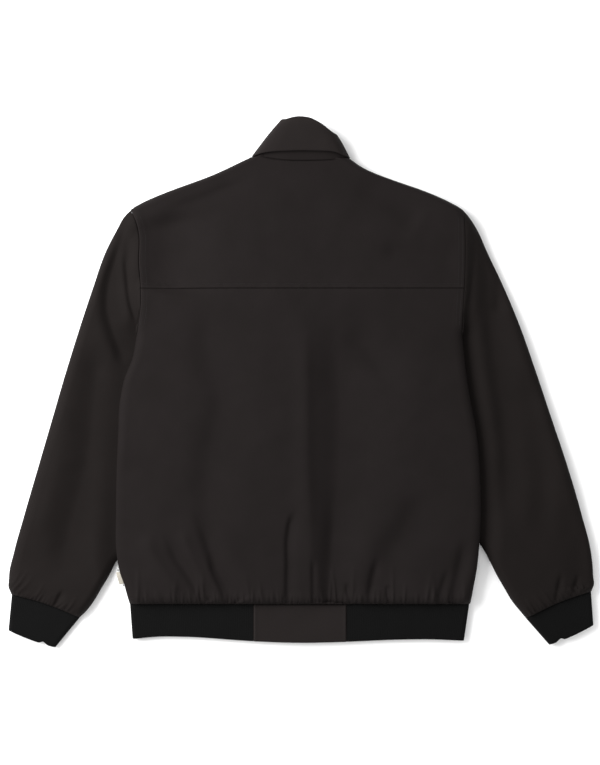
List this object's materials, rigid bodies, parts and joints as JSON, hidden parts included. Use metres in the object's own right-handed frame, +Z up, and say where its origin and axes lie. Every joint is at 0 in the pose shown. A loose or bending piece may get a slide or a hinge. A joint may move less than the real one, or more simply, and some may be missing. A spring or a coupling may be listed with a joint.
{
  "type": "bomber jacket",
  "caption": "Zipped bomber jacket with a fold-down collar, back yoke, set-in sleeves and rib-knit hem and cuffs, laid flat on its front.",
  "frame": {"origin": "on the surface that the jacket lies on, under the middle of its outline", "axes": "+X towards the wearer's right, +Y towards the collar, +Z up from the surface, through the front and out of the back"},
  "size_m": [0.8334, 0.753, 0.0341],
  "materials": {
    "shell_cloth": "smooth matt woven cotton blend, warm black",
    "rib_knit": "fine two by two rib knit, black",
    "zip_tape": "woven herringbone tape, black",
    "zip_metal": "dark nickel plated",
    "label_cloth": "plain woven cream tape, blank"
  },
  "bodies": {
    "jacket": {"back_panel": "shell_cloth", "back_yoke": "shell_cloth", "front_left": "shell_cloth", "front_right": "shell_cloth", "sleeve_left": "shell_cloth", "sleeve_right": "shell_cloth", "cuff_left": "rib_knit", "cuff_right": "rib_knit", "hem_rib_left": "rib_knit", "hem_rib_right": "rib_knit", "hem_tab": "shell_cloth", "collar_stand": "shell_cloth", "collar_leaf": "shell_cloth", "zip_tape_left": "zip_tape", "zip_tape_right": "zip_tape", "zip_chain": "zip_metal", "zip_slider": "zip_metal", "side_label": "label_cloth"},
    "zip_pull": {"zip_pull": "zip_metal"}
  },
  "joints": [
    {"name": "zip_pull_hinge", "type": "hinge", "parent": "jacket", "child": "zip_pull", "pos_m": [0, 0.2292, 0.0027], "axis": [1, 0, 0], "range_deg": [0, 180]}
  ]
}
